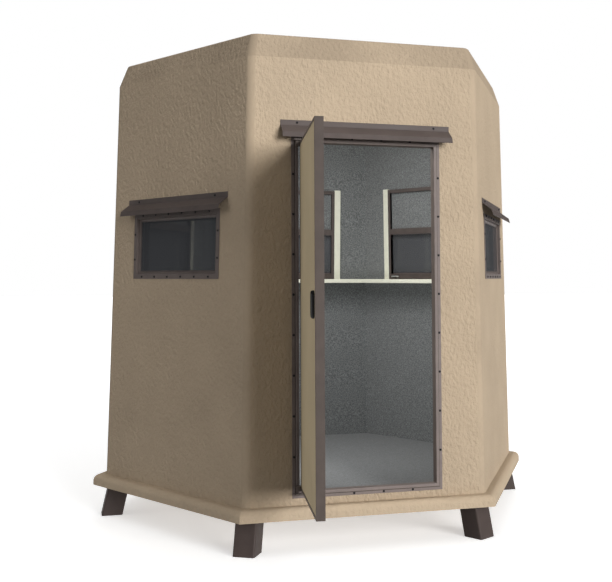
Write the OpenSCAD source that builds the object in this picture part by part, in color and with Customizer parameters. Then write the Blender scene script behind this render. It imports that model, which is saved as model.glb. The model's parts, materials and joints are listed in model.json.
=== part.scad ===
// Six-sided moulded deer blind on six leg stubs, with an outward door and five glazed windows.
// Lengths are millimetres. Ground is z = 0, the door faces -Y, and the box of the whole is centred.

/* [Shell] */
// side of the six-sided base lip, corner to corner
lip_side = 1220; // [1100:10:1340]
// height of the wall top above the underside of the lip
wall_h = 2104; // [1900:2:2200]
// how far the wall leans in over its height
wall_lean = 51.5; // [20:0.5:90]
// thickness of the moulded wall
wall_t = 30; // [20:1:45]
// radius of the upright corners
corner_r = 50; // [20:1:80]

/* [Roof] */
// height of the sloped band round the roof
roof_h = 113; // [60:1:160]
// how far the sloped band runs in
roof_in = 38.5; // [15:0.5:80]
// thickness of the roof panel
roof_t = 34; // [20:1:50]

/* [Base lip] */
// how far the lip stands out from the foot of the wall
lip_out = 51; // [30:1:70]
// height of the lip
lip_h = 55; // [35:1:80]
// radius of the round upper edge of the lip
lip_r = 32; // [10:1:34]

/* [Legs] */
// height of the leg stubs
leg_h = 157; // [100:1:220]
// width of the square leg tube
leg_w = 104; // [70:1:130]
// outward lean of the legs, in degrees
leg_splay = 12.6; // [0:0.1:20]
// distance of each leg's middle from the lip corner, at its top
leg_in = 131; // [100:1:200]

/* [Floor] */
// thickness of the floor deck
deck_t = 38; // [20:1:50]
// thickness of the floor carpet
carpet_t = 8; // [4:1:15]
// thickness of the carpet lining on walls and ceiling
lining_t = 5; // [3:0.5:8]

/* [Doorway] */
// clear width of the doorway
door_open_w = 660; // [560:2:760]
// bottom of the doorway above the underside of the lip
door_z0 = 119; // [90:1:160]
// top of the doorway above the underside of the lip
door_z1 = 1713; // [1550:1:1780]
// width of the frame flange on the wall
frame_w = 32; // [22:1:45]
// width of the raised bead beside the opening
bead_w = 14; // [8:1:20]
// how far the raised bead stands out
bead_out = 12; // [6:1:18]

/* [Door] */
// clearance between leaf and frame at the sides
leaf_gap = 5; // [5:0.5:10]
// clearance over the leaf
leaf_gap_top = 5.5; // [5:0.5:14]
// clearance under the leaf
leaf_gap_low = 12.5; // [5:0.5:18]
// thickness of the door panel
leaf_t = 34; // [25:1:50]
// visible width of the edge channel on the leaf
edge_w = 13; // [6:1:25]
// angle at which the door stands open
door_angle = 97.1; // [0:0.1:170]
// sideways place of the pivot beyond the opening
pivot_side = 10; // [6:0.5:16]
// place of the pivot in front of the wall
pivot_out = 25; // [22:0.5:34]
// radius of the pivot pins
pin_r = 5; // [3:0.5:6]
// height of the handle on the outer face
handle_h = 112; // [80:1:150]
// width of the handle
handle_w = 38; // [25:1:60]
// how far the handle stands out
handle_out = 15; // [8:1:30]
// height of the handle's middle above the underside of the lip
handle_z = 968; // [850:1:1150]

/* [Windows] */
// overall width of the outer window frame
win_w = 710; // [600:2:800]
// overall height of the outer window frame
win_h = 332; // [260:2:420]
// bottom of the outer window frame above the underside of the lip
win_z = 1083; // [980:1:1150]
// width of the window frame flange
win_flange = 25; // [15:1:35]
// width of the sash rails
sash_w = 12; // [8:1:30]
// thickness of the pane
glass_t = 5; // [3:0.5:8]
// overall width of the inner track frame
track_w = 640; // [560:2:700]
// overall height of the inner track frame
track_h = 580; // [480:2:640]

/* [Awnings] */
// width of the bent awnings over windows and door
hood_w = 824; // [700:2:900]
// height of the awning's wall flange
hood_flange = 26; // [18:1:40]
// how far the awning slopes out
hood_out = 48; // [25:1:80]
// how far the slope drops
hood_drop = 37; // [15:1:60]
// height of the awning's front lip
hood_lip = 24; // [10:1:35]
// underside of the wall flange above the top of the window frame
hood_over_win = 49; // [30:1:80]
// underside of the wall flange above the top of the doorway
hood_over_door = 77; // [50:1:110]

/* [Shelf and posts] */
// depth of the shelf under the windows
shelf_d = 150; // [90:2:260]
// thickness of the shelf
shelf_t = 25; // [15:1:35]
// top of the shelf above the underside of the lip
shelf_z = 1078; // [980:1:1150]
// width of the posts beside the windows
post_w = 40; // [25:1:60]
// depth of the posts beside the windows
post_d = 19; // [12:1:40]

/* [Hidden] */
// sides of the building and their turn
sides = 6;
turn = 360 / sides;
half_turn = turn / 2;
// distance from the middle to the outer edge of the lip, and to the foot of the wall
lip_apothem = lip_side * cos(half_turn);
foot_apothem = lip_apothem - lip_out;
eave_apothem = foot_apothem - wall_lean;
top_apothem = eave_apothem - roof_in;
// distance of the legs from the middle at their top
leg_reach = lip_side - leg_in;
// lean of the walls and of their corners, in degrees
draft = atan(wall_lean / wall_h);
corner_draft = atan(wall_lean / cos(half_turn) / wall_h);
// heights above the ground
eave_z = leg_h + wall_h;
top_z = eave_z + roof_h;
floor_z = leg_h + deck_t;
// cut margin and small steps
margin = 60;
plate_thin = 1;
slab_w = 2 * lip_side;
slab_l = wall_h + 2 * margin;
cavity_in = 26;
fine = 48;
waste_share = 1.3;
lining_gap = 4;
mitre_gap = 1;
// doorway and leaf edges
door_x = door_open_w / 2;
sheet_t = 3;
web_d = wall_t + lining_t;
door_hole_x = door_x + sheet_t;
leaf_x = door_x - leaf_gap;
leaf_z0 = door_z0 + leaf_gap_low;
leaf_z1 = door_z1 - leaf_gap_top;
channel_t = 3;
skin = 1.5;
pivot_x = -door_x - pivot_side;
// pivot brackets and arms
bracket_t = 8;
bracket_side = 14;
bracket_reach = 22;
pin_fit = 0.05;
arm_r = 8;
arm_gap = 5;
arm_h = 20;
arm_l = 46;
arm_foot = 28;
// handle
handle_edge = 20;
grip_wall = 8;
grip_floor = 4;
handle_rim = 6;
// window cuts
win_hole_w = win_w - 2 * win_flange + 2 * sheet_t;
win_hole_h = win_h - 2 * win_flange + 2 * sheet_t;
win_hole_z = win_z + win_flange - sheet_t;
sash_y = 10;
sash_d = 16;
glass_y = sash_y + (sash_d - glass_t) / 2;
track_d = 18;
track_stile = 20;
track_top = 22;
track_mid = 39;
track_bottom = 34;
track_mid_z = 287;
track_z = win_z - 2;
// thumb latch on the lower rail of each track frame
latch_l = 64;
latch_h = 10;
latch_t = 6;
latch_in = 4;
latch_z = 17;
tab_l = 14;
tab_h = 8;
tab_t = 9;
post_over = 5;
post_lift = 2;
hood_t = 2.5;
hood_kick = 6;
// the open door reaches forward, so the building stands back by half of that
door_sweep = (leaf_x - pivot_x) * sin(door_angle) - (leaf_t + pivot_out - bead_out + skin) * cos(door_angle);
front_reach = foot_apothem + (pivot_out + door_sweep) * cos(draft) - leaf_z0 * sin(draft);
centre_y = max(0, (front_reach - lip_apothem) / 2);

// part to draw

// turns children to side k of the building, ground level at the middle
module at_side(k) {
    translate([0, centre_y, 0])
        rotate([0, 0, k * turn])
            children();
}

// outer face of wall k: x to the right seen from outside, y into the building, z up the wall
module on_wall(k) {
    at_side(k)
        translate([0, -foot_apothem, leg_h])
            rotate([-draft, 0, 0])
                children();
}

// upright wedge from the middle out through side k
module sector(k, z0, z1, back = 0) {
    reach = 2 * lip_side;
    at_side(k)
        translate([0, -back, z0])
            linear_extrude(z1 - z0)
                polygon([[0, 0], [-reach * tan(half_turn), -reach], [reach * tan(half_turn), -reach]]);
}

// what lies outside the rounded corner at the right end of side k, above the lip
module corner_waste(k) {
    foot = (foot_apothem - corner_r / cos(draft)) / cos(half_turn);
    at_side(k)
        rotate([0, 0, half_turn])
            translate([0, -foot, leg_h])
                rotate([-corner_draft, 0, 0])
                    translate([0, 0, lip_h])
                        difference() {
                            linear_extrude(slab_l)
                                polygon(waste_share * corner_r * [
                                    [0, 0],
                                    [sin(half_turn), -cos(half_turn)],
                                    [0, -1 / cos(half_turn)],
                                    [-sin(half_turn), -cos(half_turn)],
                                ]);
                            translate([0, 0, -margin])
                                cylinder(r = corner_r, h = slab_l + 2 * margin, $fn = fine);
                        }
}

// layer of wall k between two depths
module wall_layer(k, y0, y1, z0, back = 0) {
    intersection() {
        on_wall(k)
            translate([-slab_w / 2, y0, -margin])
                cube([slab_w, y1 - y0, slab_l]);
        sector(k, z0, eave_z, back);
    }
}

// whole wall k with its rounded corners
module wall(k) {
    difference() {
        wall_layer(k, 0, wall_t, floor_z);
        corner_waste(k);
        corner_waste(k - 1);
    }
}

// block through the wall for a window
module window_hole(k) {
    on_wall(k)
        translate([-win_hole_w / 2, -margin, win_hole_z])
            cube([win_hole_w, 2 * margin + wall_t, win_hole_h]);
}

// block through the wall for the doorway
module door_hole() {
    on_wall(0)
        translate([-door_hole_x, -margin, door_z0 - sheet_t])
            cube([2 * door_hole_x, 2 * margin + wall_t, door_z1 - door_z0 + 2 * sheet_t]);
}

// block of the front wall between two heights and two sides, for splitting it
module front_block(x0, x1, z0, z1) {
    on_wall(0)
        translate([x0, -margin, z0])
            cube([x1 - x0, 2 * margin + wall_t, z1 - z0]);
}

module window_wall(k) {
    color([0.78, 0.69, 0.55])
        difference() {
            wall(k);
            window_hole(k);
        }
}

module front_wall_left() {
    color([0.78, 0.69, 0.55])
        intersection() {
            wall(0);
            front_block(-slab_w / 2, -door_hole_x, -margin, slab_l);
        }
}

module front_wall_right() {
    color([0.78, 0.69, 0.55])
        intersection() {
            wall(0);
            front_block(door_hole_x, slab_w / 2, -margin, slab_l);
        }
}

module front_wall_head() {
    color([0.78, 0.69, 0.55])
        intersection() {
            wall(0);
            front_block(-door_hole_x, door_hole_x, door_z1 + sheet_t, slab_l);
        }
}

module front_wall_base() {
    color([0.78, 0.69, 0.55])
        intersection() {
            wall(0);
            front_block(-door_hole_x, door_hole_x, -margin, door_z0 - sheet_t);
        }
}

// thin six-sided plate with rounded corners
module hex_plate(apothem) {
    linear_extrude(plate_thin)
        offset(r = corner_r, $fn = fine)
            circle(r = (apothem - corner_r) / cos(half_turn), $fn = sides);
}

module roof_cap() {
    color([0.76, 0.67, 0.53])
        translate([0, centre_y, eave_z])
            difference() {
                hull() {
                    hex_plate(eave_apothem);
                    translate([0, 0, roof_h - plate_thin])
                        hex_plate(top_apothem);
                }
                translate([0, 0, -plate_thin])
                    cylinder(
                        r1 = (eave_apothem - wall_t) / cos(half_turn),
                        r2 = (eave_apothem - wall_t - cavity_in) / cos(half_turn),
                        h = roof_h - roof_t + plate_thin,
                        $fn = sides
                    );
            }
}

// straight run of the rounded lip on side k
module lip_run(k) {
    intersection() {
        at_side(k)
            translate([0, -lip_apothem, leg_h])
                rotate([90, 0, 90])
                    translate([0, 0, -slab_w / 2])
                        linear_extrude(slab_w)
                            difference() {
                                square([lip_out + margin, lip_h]);
                                translate([0, lip_h - lip_r])
                                    difference() {
                                        square([lip_r, lip_r]);
                                        translate([lip_r, 0])
                                            circle(r = lip_r, $fn = fine);
                                    }
                            }
        sector(k, leg_h, leg_h + lip_h, mitre_gap);
    }
}

module base_lip() {
    color([0.78, 0.69, 0.55])
        difference() {
            union() {
                for (k = [0 : sides - 1])
                    lip_run(k);
            }
            translate([0, centre_y, leg_h - margin])
                cylinder(r = foot_apothem / cos(half_turn), h = margin + deck_t, $fn = sides);
            intersection_for (k = [0 : sides - 1])
                on_wall(k)
                    translate([-slab_w / 2, 0, -margin])
                        cube([slab_w, 2 * lip_side, slab_l]);
        }
}

module floor_deck() {
    color([0.72, 0.6, 0.42])
        translate([0, centre_y, leg_h])
            cylinder(r = foot_apothem / cos(half_turn), h = deck_t, $fn = sides);
}

module floor_carpet() {
    color([0.47, 0.49, 0.49])
        translate([0, centre_y, floor_z])
            cylinder(r = (foot_apothem - wall_t - lining_gap) / cos(half_turn), h = carpet_t, $fn = sides);
}

module wall_lining() {
    color([0.37, 0.38, 0.38])
        for (k = [0 : sides - 1])
            difference() {
                wall_layer(k, wall_t, web_d, floor_z + carpet_t, lining_gap);
                if (k == 0)
                    door_hole();
                else
                    window_hole(k);
            }
}

module ceiling_lining() {
    color([0.37, 0.38, 0.38])
        translate([0, centre_y, top_z - roof_t - lining_t])
            cylinder(r = (eave_apothem - wall_t - cavity_in - lining_gap) / cos(half_turn), h = lining_t, $fn = sides);
}

// square leg under corner k, splayed outward and cut level
module leg(k) {
    color([0.25, 0.22, 0.2])
        intersection() {
            at_side(k)
                translate([leg_reach, 0, leg_h])
                    rotate([0, -leg_splay, 0])
                        translate([-leg_w / 2, -leg_w / 2, -2 * leg_h])
                            cube([leg_w, leg_w, 3 * leg_h]);
            translate([-2 * lip_side, -2 * lip_side, 0])
                cube([4 * lip_side, 4 * lip_side, leg_h]);
        }
}

// bent frame bar: x away from the opening, y into the wall, z along the bar; the web is shorter at both ends
module frame_bar(length, web_cut = 0) {
    linear_extrude(length)
        polygon([
            [0, -bead_out], [bead_w, -bead_out], [bead_w, -sheet_t], [frame_w, -sheet_t], [frame_w, 0], [0, 0],
        ]);
    translate([0, -sheet_t, web_cut])
        cube([sheet_t, sheet_t + web_d, length - 2 * web_cut]);
}

module door_jamb_right() {
    color([0.4, 0.36, 0.34])
        on_wall(0)
            translate([door_x, 0, door_z0 - frame_w])
                frame_bar(door_z1 - door_z0 + 2 * frame_w, frame_w - sheet_t);
}

module door_jamb_left() {
    color([0.4, 0.36, 0.34])
        on_wall(0)
            mirror([1, 0, 0])
                translate([door_x, 0, door_z0 - frame_w])
                    frame_bar(door_z1 - door_z0 + 2 * frame_w, frame_w - sheet_t);
}

module door_head() {
    color([0.4, 0.36, 0.34])
        on_wall(0)
            translate([door_x, 0, door_z1])
                rotate([0, -90, 0])
                    frame_bar(door_open_w);
}

module door_sill() {
    color([0.4, 0.36, 0.34])
        on_wall(0)
            translate([-door_x, 0, door_z0])
                rotate([0, 90, 0])
                    frame_bar(door_open_w);
}

// bent sheet awning with the underside of its wall flange at height z
module hood(z) {
    translate([-hood_w / 2, 0, z])
        rotate([90, 0, 90])
            linear_extrude(hood_w)
                polygon([
                    [0, hood_flange], [0, 0], [-hood_out, -hood_drop],
                    [-hood_out - hood_kick, -hood_drop - hood_lip],
                    [-hood_out - hood_kick - hood_t, -hood_drop - hood_lip],
                    [-hood_out - hood_t, -hood_drop + hood_t], [-hood_t, hood_t], [-hood_t, hood_flange],
                ]);
}

module door_drip_cap() {
    color([0.38, 0.34, 0.33])
        on_wall(0)
            hood(door_z1 + hood_over_door);
}

// one pivot bracket on the frame, its lower face at height z
module bracket(z) {
    difference() {
        translate([pivot_x - bracket_side, -pivot_out - bracket_side, z])
            cube([bracket_side + bracket_reach, pivot_out + bracket_side - bead_out, bracket_t]);
        translate([pivot_x, -pivot_out, z - margin])
            cylinder(r = pin_r + pin_fit, h = bracket_t + 2 * margin, $fn = fine);
    }
}

module pivot_brackets() {
    color([0.3, 0.27, 0.26])
        on_wall(0) {
            bracket(door_z1 + arm_gap);
            bracket(door_z0 - arm_gap - bracket_t);
        }
}

// door children, drawn closed, swung open about the pivot line
module swing() {
    on_wall(0)
        translate([pivot_x, -pivot_out, 0])
            rotate([0, 0, -door_angle])
                translate([-pivot_x, pivot_out, 0])
                    children();
}

// the panel's own block, shrunk by the channel that wraps it
module panel_block() {
    translate([-leaf_x + channel_t, -bead_out, leaf_z0 + channel_t])
        cube([2 * (leaf_x - channel_t), leaf_t, leaf_z1 - leaf_z0 - 2 * channel_t]);
}

module door_panel() {
    color([0.78, 0.69, 0.55])
        swing()
            panel_block();
}

module door_edge() {
    color([0.4, 0.36, 0.34])
        swing()
            difference() {
                translate([-leaf_x, -bead_out - skin, leaf_z0])
                    cube([2 * leaf_x, leaf_t + 2 * skin, leaf_z1 - leaf_z0]);
                translate([-leaf_x + edge_w, -margin, leaf_z0 + edge_w])
                    cube([2 * (leaf_x - edge_w), 2 * margin, leaf_z1 - leaf_z0 - 2 * edge_w]);
                panel_block();
            }
}

// upright slot shape with round ends, standing out from the panel's face
module pill(wide, high, thick) {
    rotate([90, 0, 0]) {
        translate([-wide / 2, -(high - wide) / 2, 0])
            cube([wide, high - wide, thick]);
        for (s = [-1, 1])
            translate([0, s * (high - wide) / 2, 0])
                cylinder(r = wide / 2, h = thick, $fn = fine);
    }
}

// the same shape with a sloped rim round its front
module rimmed_pill(wide, high, thick, rim) {
    pill(wide, high, thick - rim);
    rotate([90, 0, 0])
        translate([0, 0, thick - rim]) {
            for (s = [-1, 1])
                translate([0, s * (high - wide) / 2, 0])
                    cylinder(r1 = wide / 2, r2 = wide / 2 - rim, h = rim, $fn = fine);
            translate([0, (high - wide) / 2, 0])
                rotate([90, 0, 0])
                    linear_extrude(high - wide)
                        polygon([[-wide / 2, 0], [wide / 2, 0], [wide / 2 - rim, rim], [rim - wide / 2, rim]]);
        }
}

module door_handle() {
    color([0.05, 0.05, 0.05])
        swing()
            translate([leaf_x - edge_w - handle_edge - handle_w / 2, -bead_out, handle_z])
                difference() {
                    rimmed_pill(handle_w, handle_h, handle_out, handle_rim);
                    translate([0, -grip_floor, 0])
                        pill(handle_w - 2 * grip_wall, handle_h - 2 * grip_wall, handle_out);
                }
}

// one pivot arm: pin along the pivot line, barrel and foot on the panel, its pin reaching up or down
module pivot_arm(pin_up, pin_down) {
    translate([pivot_x, -pivot_out, 0]) {
        cylinder(r = arm_r, h = arm_h, $fn = fine);
        translate([0, 0, -pin_down])
            cylinder(r = pin_r, h = pin_down + arm_h + pin_up, $fn = fine);
        translate([0, -arm_r, 0])
            cube([arm_l, arm_r, arm_h]);
        translate([arm_l - arm_foot, -arm_r, 0])
            cube([arm_foot, arm_r + pivot_out - bead_out - skin, arm_h]);
    }
}

module door_pivots() {
    color([0.3, 0.27, 0.26])
        swing() {
            translate([0, 0, leaf_z1 - arm_h])
                pivot_arm(leaf_gap_top + arm_gap + bracket_t, 0);
            translate([0, 0, leaf_z0])
                pivot_arm(0, leaf_gap_low + arm_gap + bracket_t);
        }
}

// ring in the wall plane: outer size, border, depth range, bottom height
module ring(wide, high, border, y0, y1, z) {
    difference() {
        translate([-wide / 2, y0, z])
            cube([wide, y1 - y0, high]);
        translate([-wide / 2 + border, y0 - margin, z + border])
            cube([wide - 2 * border, y1 - y0 + 2 * margin, high - 2 * border]);
    }
}

module window_frames() {
    color([0.4, 0.36, 0.34])
        for (k = [1 : sides - 1])
            on_wall(k) {
                ring(win_w, win_h, win_flange, -sheet_t, 0, win_z);
                ring(win_hole_w, win_hole_h, sheet_t, -sheet_t, web_d, win_hole_z);
            }
}

module window_sashes() {
    color([0.36, 0.32, 0.31])
        for (k = [1 : sides - 1])
            on_wall(k)
                ring(win_w - 2 * win_flange, win_h - 2 * win_flange, sash_w, sash_y, sash_y + sash_d, win_z + win_flange);
}

module window_glass() {
    inset = win_flange + sash_w;
    color([0.25, 0.27, 0.3, 0.4])
        for (k = [1 : sides - 1])
            on_wall(k)
                translate([-win_w / 2 + inset, glass_y, win_z + inset])
                    cube([win_w - 2 * inset, glass_t, win_h - 2 * inset]);
}

module window_tracks() {
    color([0.36, 0.32, 0.31])
        for (k = [1 : sides - 1])
            on_wall(k)
                translate([-track_w / 2, web_d, track_z]) {
                    cube([track_stile, track_d, track_h]);
                    translate([track_w - track_stile, 0, 0])
                        cube([track_stile, track_d, track_h]);
                    cube([track_w, track_d, track_bottom]);
                    translate([0, 0, track_mid_z])
                        cube([track_w, track_d, track_mid]);
                    translate([0, 0, track_h - track_top])
                        cube([track_w, track_d, track_top]);
                }
}

// plate with round ends and a thumb tab, standing into the cabin
module latch() {
    translate([0, latch_t, 0]) {
        rotate([0, 90, 0])
            pill(latch_h, latch_l, latch_t);
        translate([-tab_l / 2, 0, -tab_h / 2])
            cube([tab_l, tab_t, tab_h]);
    }
}

module sash_latches() {
    color([0.78, 0.79, 0.8])
        for (k = [1 : sides - 1])
            on_wall(k)
                translate([track_w / 2 - track_stile - latch_in - latch_l / 2, web_d + track_d, track_z + latch_z])
                    latch();
}

module window_awnings() {
    color([0.32, 0.28, 0.27])
        for (k = [1 : sides - 1])
            on_wall(k)
                hood(win_z + win_h + hood_over_win);
}

module shelves() {
    color([0.87, 0.87, 0.8])
        for (k = [1 : sides - 1])
            intersection() {
                at_side(k)
                    translate([-lip_side, -foot_apothem, leg_h + shelf_z - shelf_t])
                        cube([2 * lip_side, web_d + shelf_d + wall_lean * shelf_z / wall_h, shelf_t]);
                on_wall(k)
                    translate([-slab_w / 2, web_d, 0])
                        cube([slab_w, lip_side, slab_l]);
                sector(k, leg_h, eave_z, lining_gap);
            }
}

module window_posts() {
    color([0.87, 0.87, 0.8])
        for (k = [1 : sides - 1])
            on_wall(k)
                for (s = [0, 1])
                    mirror([s, 0, 0])
                        translate([track_w / 2, web_d, shelf_z + post_lift])
                            cube([post_w, post_d, track_z + track_h + post_over - shelf_z - post_lift]);
}

front_wall_left();
front_wall_right();
front_wall_head();
front_wall_base();
window_wall(1);  // front_right_wall
window_wall(2);  // back_right_wall
window_wall(3);  // back_wall
window_wall(4);  // back_left_wall
window_wall(5);  // front_left_wall
roof_cap();
base_lip();
floor_deck();
floor_carpet();
wall_lining();
ceiling_lining();
leg(0);  // leg_right
leg(1);  // leg_back_right
leg(2);  // leg_back_left
leg(3);  // leg_left
leg(4);  // leg_front_left
leg(5);  // leg_front_right
door_jamb_left();
door_jamb_right();
door_head();
door_sill();
door_drip_cap();
pivot_brackets();
door_panel();
door_edge();
door_handle();
door_pivots();
window_frames();
window_sashes();
window_glass();
window_tracks();
sash_latches();
window_awnings();
shelves();
window_posts();
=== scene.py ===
import json
import math
import bpy
import bmesh
from mathutils import Matrix, Vector

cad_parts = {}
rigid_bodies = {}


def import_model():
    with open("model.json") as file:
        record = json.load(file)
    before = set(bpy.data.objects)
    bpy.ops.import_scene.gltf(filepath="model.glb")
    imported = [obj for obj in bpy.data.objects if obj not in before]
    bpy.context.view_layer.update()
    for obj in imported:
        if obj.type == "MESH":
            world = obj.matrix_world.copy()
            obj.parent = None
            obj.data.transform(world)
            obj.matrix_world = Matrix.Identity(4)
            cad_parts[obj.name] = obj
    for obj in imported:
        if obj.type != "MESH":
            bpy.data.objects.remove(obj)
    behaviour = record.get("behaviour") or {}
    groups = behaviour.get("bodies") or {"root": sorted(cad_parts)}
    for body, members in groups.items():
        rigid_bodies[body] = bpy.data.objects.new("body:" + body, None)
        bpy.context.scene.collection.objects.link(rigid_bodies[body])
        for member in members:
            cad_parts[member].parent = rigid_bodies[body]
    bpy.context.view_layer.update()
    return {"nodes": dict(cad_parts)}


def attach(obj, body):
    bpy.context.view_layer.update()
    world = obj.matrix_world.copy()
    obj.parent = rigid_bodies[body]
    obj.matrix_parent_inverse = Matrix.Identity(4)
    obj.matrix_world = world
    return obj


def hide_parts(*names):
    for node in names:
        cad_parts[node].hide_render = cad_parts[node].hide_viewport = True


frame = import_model()
nodes = frame["nodes"]

# Walls, roof, base and linings in metres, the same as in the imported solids
SIDES = 6
TURN = math.radians(60)
HALF = math.radians(30)
CENTRE_Y = 0.3182354
LIP_SIDE, LIP_OUT, LIP_H, LIP_R = 1.220, 0.051, 0.055, 0.032
WALL_H, WALL_LEAN, WALL_T, CORNER_R = 2.104, 0.0515, 0.030, 0.050
ROOF_H, ROOF_IN = 0.113, 0.0385
DECK_T, CARPET_T, LINING_T, LINING_R = 0.038, 0.008, 0.005, 0.022
SHEET = 0.003
LIP_AP = LIP_SIDE * math.cos(HALF)
FOOT_AP = LIP_AP - LIP_OUT
EAVE_AP = FOOT_AP - WALL_LEAN
TOP_AP = EAVE_AP - ROOF_IN
DRAFT = math.atan(WALL_LEAN / WALL_H)
WEB_D = WALL_T + LINING_T
LIP_BITE, LIP_ARRIS = 0.004, 0.0025
EAVE_ROUND, TOP_ROUND = 0.003, 0.009

# Legs
LEG_H, LEG_W, LEG_REACH, LEG_SPLAY = 0.157, 0.104, 1.089, math.radians(12.6)
LEG_ARRIS, LEG_TUBE_T, LEG_HOLLOW = 0.009, 0.006, 0.05
LEGS = ("right", "back_right", "back_left", "left", "front_left", "front_right")
EAVE_Z = LEG_H + WALL_H
TOP_Z = EAVE_Z + ROOF_H

# Doorway, its frame and seal
DOOR_X, DOOR_Z0, DOOR_Z1 = 0.330, 0.119, 1.713
FRAME_W, BEAD_W, BEAD_OUT, BEAD_ROUND = 0.032, 0.014, 0.012, 0.0012
HEAD_UNDER, HEAD_OVER = 0.002, 0.001
SEAL_W, SEAL_BITE, SEAL_SINK, SEAL_THIN, SEAL_THICK = 0.0048, 0.0005, 0.0002, 0.0006, 0.002

# Door leaf and handle
LEAF_X, LEAF_Z0, LEAF_Z1, LEAF_T = 0.325, 0.1315, 1.7075, 0.034
LEAF_INSET, LEAF_ROUND = 0.003, 0.001
EDGE_COVER, EDGE_T, EDGE_ROUND = 0.013, 0.0015, 0.0005
DOOR_ANGLE = math.radians(97.1)
PIVOT = Vector((-0.340, -0.025, 0))
HANDLE_Z, HANDLE_H, HANDLE_W, HANDLE_OUT = 0.968, 0.112, 0.038, 0.015
HANDLE_ROUND, HANDLE_RIM, HANDLE_WELL, HANDLE_SETBACK = 0.010, 0.003, 0.009, 0.020
GRIP_X, GRIP_Z0, GRIP_Z1, GRIP_BACK, GRIP_ROUND = 0.0075, -0.008, 0.034, 0.004, 0.003

# Windows
WIN_W, WIN_H, WIN_Z, WIN_FLANGE, WIN_ROUND = 0.710, 0.332, 1.083, 0.025, 0.0009
INNER_X = WIN_W / 2 - WIN_FLANGE
INNER_Z0, INNER_Z1 = WIN_Z + WIN_FLANGE, WIN_Z + WIN_H - WIN_FLANGE
SASH_W, SASH_Y, SASH_D, SASH_SLOPE_W, SASH_SLOPE_D = 0.012, 0.010, 0.016, 0.006, 0.004
GLASS_T, GLASS_ROUND = 0.005, 0.0008
GLASS_Y = SASH_Y + (SASH_D - GLASS_T) / 2
GASKET_W, GASKET_THIN, GASKET_THICK = 0.004, 0.002, 0.003
TRACK_W, TRACK_H, TRACK_Z, TRACK_D, TRACK_ROUND = 0.640, 0.580, 1.081, 0.018, 0.0015
STILE_W, FOOT_RAIL, BAR_Z0, BAR_Z1, TOP_RAIL = 0.020, 0.034, 0.287, 0.326, 0.022
LATCH_L, LATCH_H, LATCH_T, LATCH_ROUND, LATCH_GAP = 0.064, 0.010, 0.006, 0.0015, 0.004
THUMB_X, THUMB_Y0, THUMB_Y1, THUMB_Z, THUMB_ROUND = 0.007, -0.012, -0.002, 0.004, 0.002

# Awnings and drip cap
HOOD_W, HOOD_FLANGE, HOOD_OUT, HOOD_DROP = 0.824, 0.026, 0.048, 0.037
HOOD_LIP, HOOD_KICK, HOOD_T, HOOD_FOLD_R = 0.024, 0.006, 0.0025, 0.0012
HOOD_WIN_Z, HOOD_DOOR_Z = 1.464, 1.790
FOLD_DEGREES = 15

# Bolts
WASHER_R, WASHER_TOP_R, WASHER_T = 0.0056, 0.0050, 0.0012
NUT_R, NUT_TOP_R, NUT_T = 0.0040, 0.0034, 0.0030
BOLT_SEAT_Y, HOOD_SEAT_Y = -SHEET - 0.0001, -0.0026
JAMB_BOLTS, JAMB_BOLT_Z, JAMB_BOLT_PITCH = 8, 0.273, 0.1846
HEAD_BOLTS, HEAD_BOLT_PITCH, DOOR_BOLT_OUT = 4, 0.1427, 0.0235
CAP_BOLT_X, CAP_BOLT_UP = 0.3335, 0.014
WIN_BOLTS, WIN_BOLT_PITCH, WIN_BOLT_IN = 6, 0.111, 0.0105
WIN_SIDE_BOLT_Z = (1.182, 1.310)
AWNING_BOLT_X, AWNING_BOLT_UP = 0.317, 0.0125

# Shelf and posts
SHELF_Z, SHELF_T, SHELF_IN, SHELF_GAP, SHELF_ROUND = 1.078, 0.025, 0.794, 0.0005, 0.004
POST_W, POST_D, POST_FOOT, POST_OVER, POST_ROUND = 0.040, 0.019, 0.001, 0.005, 0.002

# Limits that pick faces and edges
CORNER_MARK = "smooth_shaded_corner"
CORNER_TURN = math.radians(1.1)
FLAT_MATCH = 0.9995
NEAR = 0.001
TOUCH = 1e-6
FACING = 0.9
BRINK_ANGLE = 1

# Finishes: span of the noise, heights over which the stucco darkens towards its foot, and shares of the
# stucco's tone, among them painted shade on the roof band and at the corners
NOISE_SPAN = (0.3, 0.7)
FOOT_DARK_Z0, FOOT_DARK_Z1 = 0.2, 1.5
PEBBLE_SHARE, ROOF_SHADE_SHARE, FOOT_DARK_SHARE, CORNER_SHADE_SHARE = 0.35, -0.52, -0.16, -0.22
CORNER_GRAIN = 0.15

# Studio
FLOOR_SIZE = 60
GLOW_NEAR, GLOW_FAR, GLOW_LOW, GLOW_HIGH = 2.6, 9.0, 0.48, 0.60
SKY_LIGHT, SKY_GLOSS_CUT = 0.245, 0.195

MIDDLE = Matrix.Translation((0, CENTRE_Y, 0))
QUARTER = Matrix.Rotation(math.radians(90), 4, "X")
SHOWN = bpy.context.scene.collection.objects


def wall_place(k):
    """Row frame of wall k: x to the right seen from outside, y into the hut, z up the leaning face."""
    return (
        MIDDLE
        @ Matrix.Rotation(k * TURN, 4, "Z")
        @ Matrix.Translation((0, -FOOT_AP, LEG_H))
        @ Matrix.Rotation(-DRAFT, 4, "X")
    )


def wall_apothem(z):
    """Distance of the walls' outer faces from the middle line, at z above their foot."""
    return FOOT_AP - WALL_LEAN * z / WALL_H


FRONT = wall_place(0)
SWING = (
    FRONT
    @ Matrix.Translation(PIVOT)
    @ Matrix.Rotation(-DOOR_ANGLE, 4, "Z")
    @ Matrix.Translation(-PIVOT)
)
WINDOW_WALLS = range(1, SIDES)


# Nodes of the finishes

def feed(tree, socket, value):
    """Gives a socket a number, or joins an output to it."""
    if isinstance(value, (int, float)):
        socket.default_value = value
    else:
        tree.links.new(value, socket)


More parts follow.
